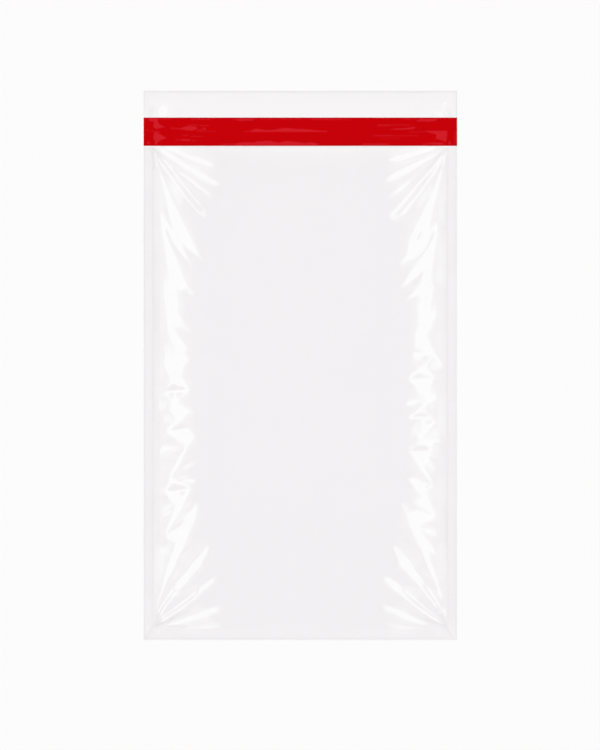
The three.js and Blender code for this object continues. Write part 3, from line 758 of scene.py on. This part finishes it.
def front_heights(wall, mouth):
    """The places across and down of the front film's grid inside the welds, and its heights there."""
    columns = round(2 * INSIDE / CELL) - 1
    cell = 2 * INSIDE / (columns + 1)
    rows = int((mouth - BOTTOM - BAND) / cell - 0.5)
    xs = -INSIDE + cell * np.arange(1, columns + 1)
    ys = mouth - cell * (np.arange(rows) + 0.5)
    start = softened(heights_of(wall, xs, ys[::-1])[::-1] - 2 * FILM, START_PASSES)
    light = brightness(*to_pixels(*np.meshgrid(xs, ys)))
    return xs, ys, folded(start / cell, light) * cell + 2 * FILM


def mesh_piece(name, places, faces, material):
    """A smooth mesh object from vertices and faces."""
    mesh = bpy.data.meshes.new(name)
    mesh.from_pydata([tuple(p) for p in places], [], [tuple(f) for f in faces])
    mesh.validate()
    mesh.shade_smooth()
    mesh.materials.append(material)
    piece = bpy.data.objects.new(name, mesh)
    bpy.context.scene.collection.objects.link(piece)
    return piece


def set_numbers(piece, name, values):
    """Gives each vertex of a piece a named number."""
    layer = piece.data.attributes.new(name, "FLOAT", "POINT")
    layer.data.foreach_set("value", values.ravel().astype(np.float32))


def grid_faces(rows, columns, first=0):
    """The quads of a grid of vertices, whose numbers start at first."""
    index = first + np.arange(rows * columns).reshape(rows, columns)
    corners = [index[:-1, :-1], index[:-1, 1:], index[1:, 1:], index[1:, :-1]]
    return np.stack(corners, axis=2).reshape(-1, 4)


def add_node(tree, kind, inputs=None):
    """A new shader node, whose inputs are given numbers, colours or other nodes' outputs."""
    node = tree.nodes.new(f"ShaderNode{kind}")
    for key, value in (inputs or {}).items():
        if isinstance(value, bpy.types.NodeSocket):
            tree.links.new(value, node.inputs[key])
        else:
            node.inputs[key].default_value = value
    return node


def add_ramp(tree, number, stops):
    """A colour that follows a number, by stops of a place and a colour."""
    ramp = add_node(tree, "ValToRGB", {"Fac": number})
    elements = ramp.color_ramp.elements
    while len(elements) < len(stops):
        elements.new(0.5)
    for element, (at, colour) in zip(elements, stops):
        element.position = at
        element.color = colour
    return ramp.outputs["Color"]


def greys(levels):
    """Stops for a ramp from places and grey levels."""
    return [(at, (level, level, level, 1)) for at, level in levels]


def colour_by(tree, name, low, high):
    """A colour that runs from low to high with a named number of the vertices."""
    number = add_node(tree, "Attribute")
    number.attribute_name = name
    return add_ramp(tree, number.outputs["Fac"], [(0, low), (1, high)])


def new_material(name):
    """A material and its node tree, which is still empty."""
    material = bpy.data.materials.new(name)
    material.use_nodes = True
    material.node_tree.nodes.clear()
    return material, material.node_tree


def film_material(name, mirrors):
    """Thin clear film: it mirrors by angle and lets the rest through, less where its tint is dimmed or
    shade painted.
    """
    material, tree = new_material(name)
    tint = colour_by(tree, "dimness_and_painted_light", CLEAR_TINT, DIMMED_AND_SHADED_TINT)
    clear = add_node(tree, "BsdfTransparent", {"Color": tint})
    gloss = add_node(tree, "BsdfGlossy", {"Color": MIRROR_TINT, "Roughness": MIRROR_ROUGHNESS})
    angle = add_node(tree, "LayerWeight")
    mirrored = add_ramp(tree, angle.outputs["Facing"], greys(mirrors))
    mix = add_node(tree, "MixShader", {"Fac": mirrored, 1: clear.outputs["BSDF"], 2: gloss.outputs["BSDF"]})
    add_node(tree, "OutputMaterial", {"Surface": mix.outputs["Shader"]})
    return material


def film_sheet(name, xs, ys, heights, mirrors, dimness_and_painted_light):
    """A sheet of film over a grid of places, with rows of heights and of its dimness and painted shade."""
    x, y = np.meshgrid(xs, ys)
    places = np.stack([x, y, heights], axis=2).reshape(-1, 3)
    sheet = mesh_piece(name, places, grid_faces(len(ys), len(xs)), film_material(name, mirrors))
    set_numbers(sheet, "dimness_and_painted_light", dimness_and_painted_light)
    return sheet


def painted_shade_and_light(x, y, shade_lines):
    """The painted shade, or below nought painted highlight, of the drawn lines at each pixel."""
    dark = np.zeros(x.shape)
    for level, width, line in shade_lines:
        dark += level * stroked(x, y, line, width)
    return dark


def upright_marks_and_shade():
    """The marks straight down the pouch, seams and painted shade, each as how dark, a width and a line."""
    shade_lines = []
    for (column, width), stretches in UPRIGHT_MARKS_AND_SHADE.items():
        for level, top, foot in stretches:
            shade_lines.append((level, width, [(column, top), (column, foot)]))
    return shade_lines


def middle_darkening(x, from_mouth):
    """How much darker the film's tint is made away from its sides and its mouth."""
    from_weld = INSIDE - np.abs(x)
    side = np.clip((from_weld - DARKENING_START) / (DARKENING_FULL - DARKENING_START), 0, 1)
    return MIDDLE_DARKENING * side * (1 - np.exp(-from_mouth / DARKENING_FROM_MOUTH))


def kept_columns(xs):
    """Which columns of the folded grid the mesh keeps: fewer, the further they are from the welds."""
    from_weld = INSIDE - np.abs(xs)
    number = np.minimum(np.arange(len(xs)), np.arange(len(xs))[::-1])
    kept = np.zeros(len(xs), bool)
    start = 0
    for reach, stride in COLUMN_ZONES:
        kept |= (from_weld >= start) & (from_weld < reach) & (number % stride == 0)
        start = reach
    return kept


def make_front():
    """The front panel with its welds, puffed and folded. Says where its mouth is."""
    wall = front_wall()
    mouth = float(wall[:, :, 1].max())
    inner_x, inner_y, inner_heights = front_heights(wall, mouth)
    kept = kept_columns(inner_x)
    weld = edged_steps(-HALF_WIDTH, -INSIDE, WELD_STEP)
    band = edged_steps(BOTTOM, BOTTOM + BAND, CELL)
    xs = np.concatenate([weld, inner_x[kept], -weld[::-1]])
    ys = np.concatenate([band, inner_y[::-1], [mouth]])
    heights = np.full((len(ys), len(xs)), 2 * FILM)
    middle = slice(len(weld), -len(weld))
    heights[len(band):-1, middle] = inner_heights[::-1, kept]
    heights[-1] = heights[-2]
    x, y = np.meshgrid(xs, ys)
    shade_lines = PAINTED_SHADE_AND_HIGHLIGHTS + upright_marks_and_shade()
    # The tint's dimness, a darkening away from the welds and mouth, and painted shade and highlights
    dimness_and_painted_light = FILM_DIMNESS + middle_darkening(x, mouth - y) + painted_shade_and_light(*to_pixels(x, y), shade_lines)
    front = film_sheet("film_front", xs, ys, heights, FRONT_MIRRORS, dimness_and_painted_light)
    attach(front, "root")
    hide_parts("film_pouch")
    return mouth


def make_back(mouth):
    """The back panel, flat on the table, and the lip beyond the mouth."""
    xs = edged_steps(-HALF_WIDTH, HALF_WIDTH, LIP_STEP)
    pouch_rows = steps(BOTTOM, mouth, BACK_ROW_STEP)
    lip_rows = edged_steps(mouth, film_high[1], LIP_STEP)[1:]
    ys = np.concatenate([pouch_rows, lip_rows])
    x, y = to_pixels(*np.meshgrid(xs, ys))
    heights = np.full(x.shape, FILM / 2)
    for height, radius, (at_x, at_y) in LIP_DIMPLES.values():
        heights += height * np.exp(-((x - at_x) ** 2 + (y - at_y) ** 2) / radius ** 2)
    dimness_and_painted_light = np.zeros(x.shape)
    lip = slice(len(pouch_rows), None)
    from_edge = (film_high[1] - lip_rows)[:, None]
    dimness_and_painted_light[lip] = LIP_DIMNESS + LIP_EDGE_DIMNESS * np.exp(-from_edge / LIP_EDGE_REACH)
    # Painted shade and highlights of the lip
    dimness_and_painted_light[lip] += painted_shade_and_light(x[lip], y[lip], LIP_PAINTED_SHADE_AND_HIGHLIGHTS)
    back = film_sheet("film_back", xs, ys, heights, BACK_MIRRORS, dimness_and_painted_light)
    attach(back, "root")
    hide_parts("film_pouch")


def liner_material():
    """Satin red film, with a painted sheen of lighter red where it has come loose."""
    material, tree = new_material("red_liner")
    colour = colour_by(tree, "loose_and_sheen", STUCK_RED, SHEEN_RED)
    finish = {"Roughness": LINER_ROUGHNESS, "Specular IOR Level": LINER_SPECULAR}
    shader = add_node(tree, "BsdfPrincipled", {"Base Color": colour, **finish})
    add_node(tree, "OutputMaterial", {"Surface": shader.outputs["BSDF"]})
    return material


def make_liner():
    """The liner as a thin slab, raised where it has come loose from the adhesive."""
    xs = steps(liner_low[0], liner_high[0], LINER_STEP)
    ys = steps(liner_low[1], liner_high[1], LINER_STEP)
    x, y = np.meshgrid(xs, ys)
    px, py = to_pixels(x, y)
    # How loose the liner is, and how strong its painted sheen, at each place
    loose_and_sheen = levels_of(LOOSE_SHEEN_PATCHES, px, py)
    for level, width, line in LOOSE_SHEEN_LINES:
        loose_and_sheen = np.maximum(loose_and_sheen, level * stroked(px, py, line, width))
    rise = softened(loose_and_sheen, LOOSE_PASSES) * LOOSE_HEIGHT
    rows, columns = x.shape
    count = rows * columns
    top = np.stack([x, y, liner_high[2] + rise], axis=2).reshape(-1, 3)
    under = np.stack([x, y, np.full(x.shape, liner_low[2])], axis=2).reshape(-1, 3)
    index = np.arange(count).reshape(rows, columns)
    rim = np.concatenate([index[0], index[1:, -1], index[-1, -2::-1], index[-2:0:-1, 0]])
    after = np.roll(rim, -1)
    walls = np.stack([rim + count, after + count, after, rim], axis=1)
    faces = [grid_faces(rows, columns), grid_faces(rows, columns, count)[:, ::-1], walls]
    liner = mesh_piece("liner", np.concatenate([top, under]), np.concatenate(faces), liner_material())
    set_numbers(liner, "loose_and_sheen", np.stack([loose_and_sheen, loose_and_sheen]))
    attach(liner, "root")
    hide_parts("release_liner")


def dress_adhesive():
    """Clear, slightly yellow adhesive with a fine unevenness."""
    material, tree = new_material("clear_adhesive")
    place = add_node(tree, "TexCoord")
    noise = add_node(tree, "TexNoise", {"Vector": place.outputs["Object"], "Scale": GRAIN_SCALE})
    grain = {"Strength": GRAIN_STRENGTH, "Distance": GRAIN_DEPTH}
    bump = add_node(tree, "Bump", {"Height": noise.outputs["Fac"], **grain})
    finish = {"Base Color": ADHESIVE_COLOUR, "Roughness": ADHESIVE_ROUGHNESS, "Alpha": ADHESIVE_ALPHA}
    shader = add_node(tree, "BsdfPrincipled", {"Normal": bump.outputs["Normal"], **finish})
    add_node(tree, "OutputMaterial", {"Surface": shader.outputs["BSDF"]})
    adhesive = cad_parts["adhesive_strip"]
    adhesive.data.materials.clear()
    adhesive.data.materials.append(material)


def make_floor():
    """A plain pale floor."""
    material, tree = new_material("floor")
    shader = add_node(tree, "BsdfDiffuse", {"Color": FLOOR_COLOUR})
    add_node(tree, "OutputMaterial", {"Surface": shader.outputs["BSDF"]})
    turns = ((-1, -1), (1, -1), (1, 1), (-1, 1))
    corners = [(x * FLOOR_REACH, y * FLOOR_REACH, FLOOR_LEVEL) for x, y in turns]
    floor = mesh_piece("floor", corners, [(0, 1, 2, 3)], material)


def make_light():
    """A light tent: bright walls all round, a dimmer top and a dim foot."""
    world = bpy.data.worlds.new("tent")
    bpy.context.scene.world = world
    world.use_nodes = True
    tree = world.node_tree
    tree.nodes.clear()
    place = add_node(tree, "TexCoord")
    split = add_node(tree, "SeparateXYZ", {"Vector": place.outputs["Generated"]})
    walls = add_ramp(tree, split.outputs["Z"], greys(TENT_BY_HEIGHT))
    tent = add_node(tree, "Background", {"Color": walls, "Strength": TENT_STRENGTH})
    seen = add_node(tree, "Background", {"Color": BEYOND_COLOUR})
    path = add_node(tree, "LightPath")
    mixed = {1: tent.outputs["Background"], 2: seen.outputs["Background"]}
    mix = add_node(tree, "MixShader", {"Fac": path.outputs["Is Camera Ray"], **mixed})
    add_node(tree, "OutputWorld", {"Surface": mix.outputs["Shader"]})


def make_camera():
    """The camera straight above, with the photograph's framing."""
    data = bpy.data.cameras.new("camera")
    data.sensor_width = SENSOR
    data.lens = SENSOR * CAMERA_HEIGHT / (FRAME[1] * PIXEL)
    data.clip_end = CAMERA_REACH
    camera = bpy.data.objects.new("camera", data)
    right = (FRAME[0] / 2 - MIDDLE_PIXEL[0]) * PIXEL
    up = (MIDDLE_PIXEL[1] - FRAME[1] / 2) * PIXEL
    camera.location = (right, up, CAMERA_HEIGHT)
    bpy.context.scene.collection.objects.link(camera)
    bpy.context.scene.camera = camera


bpy.context.scene.view_settings.view_transform = "Standard"
make_camera()
make_light()
make_floor()
make_back(make_front())
make_liner()
dress_adhesive()
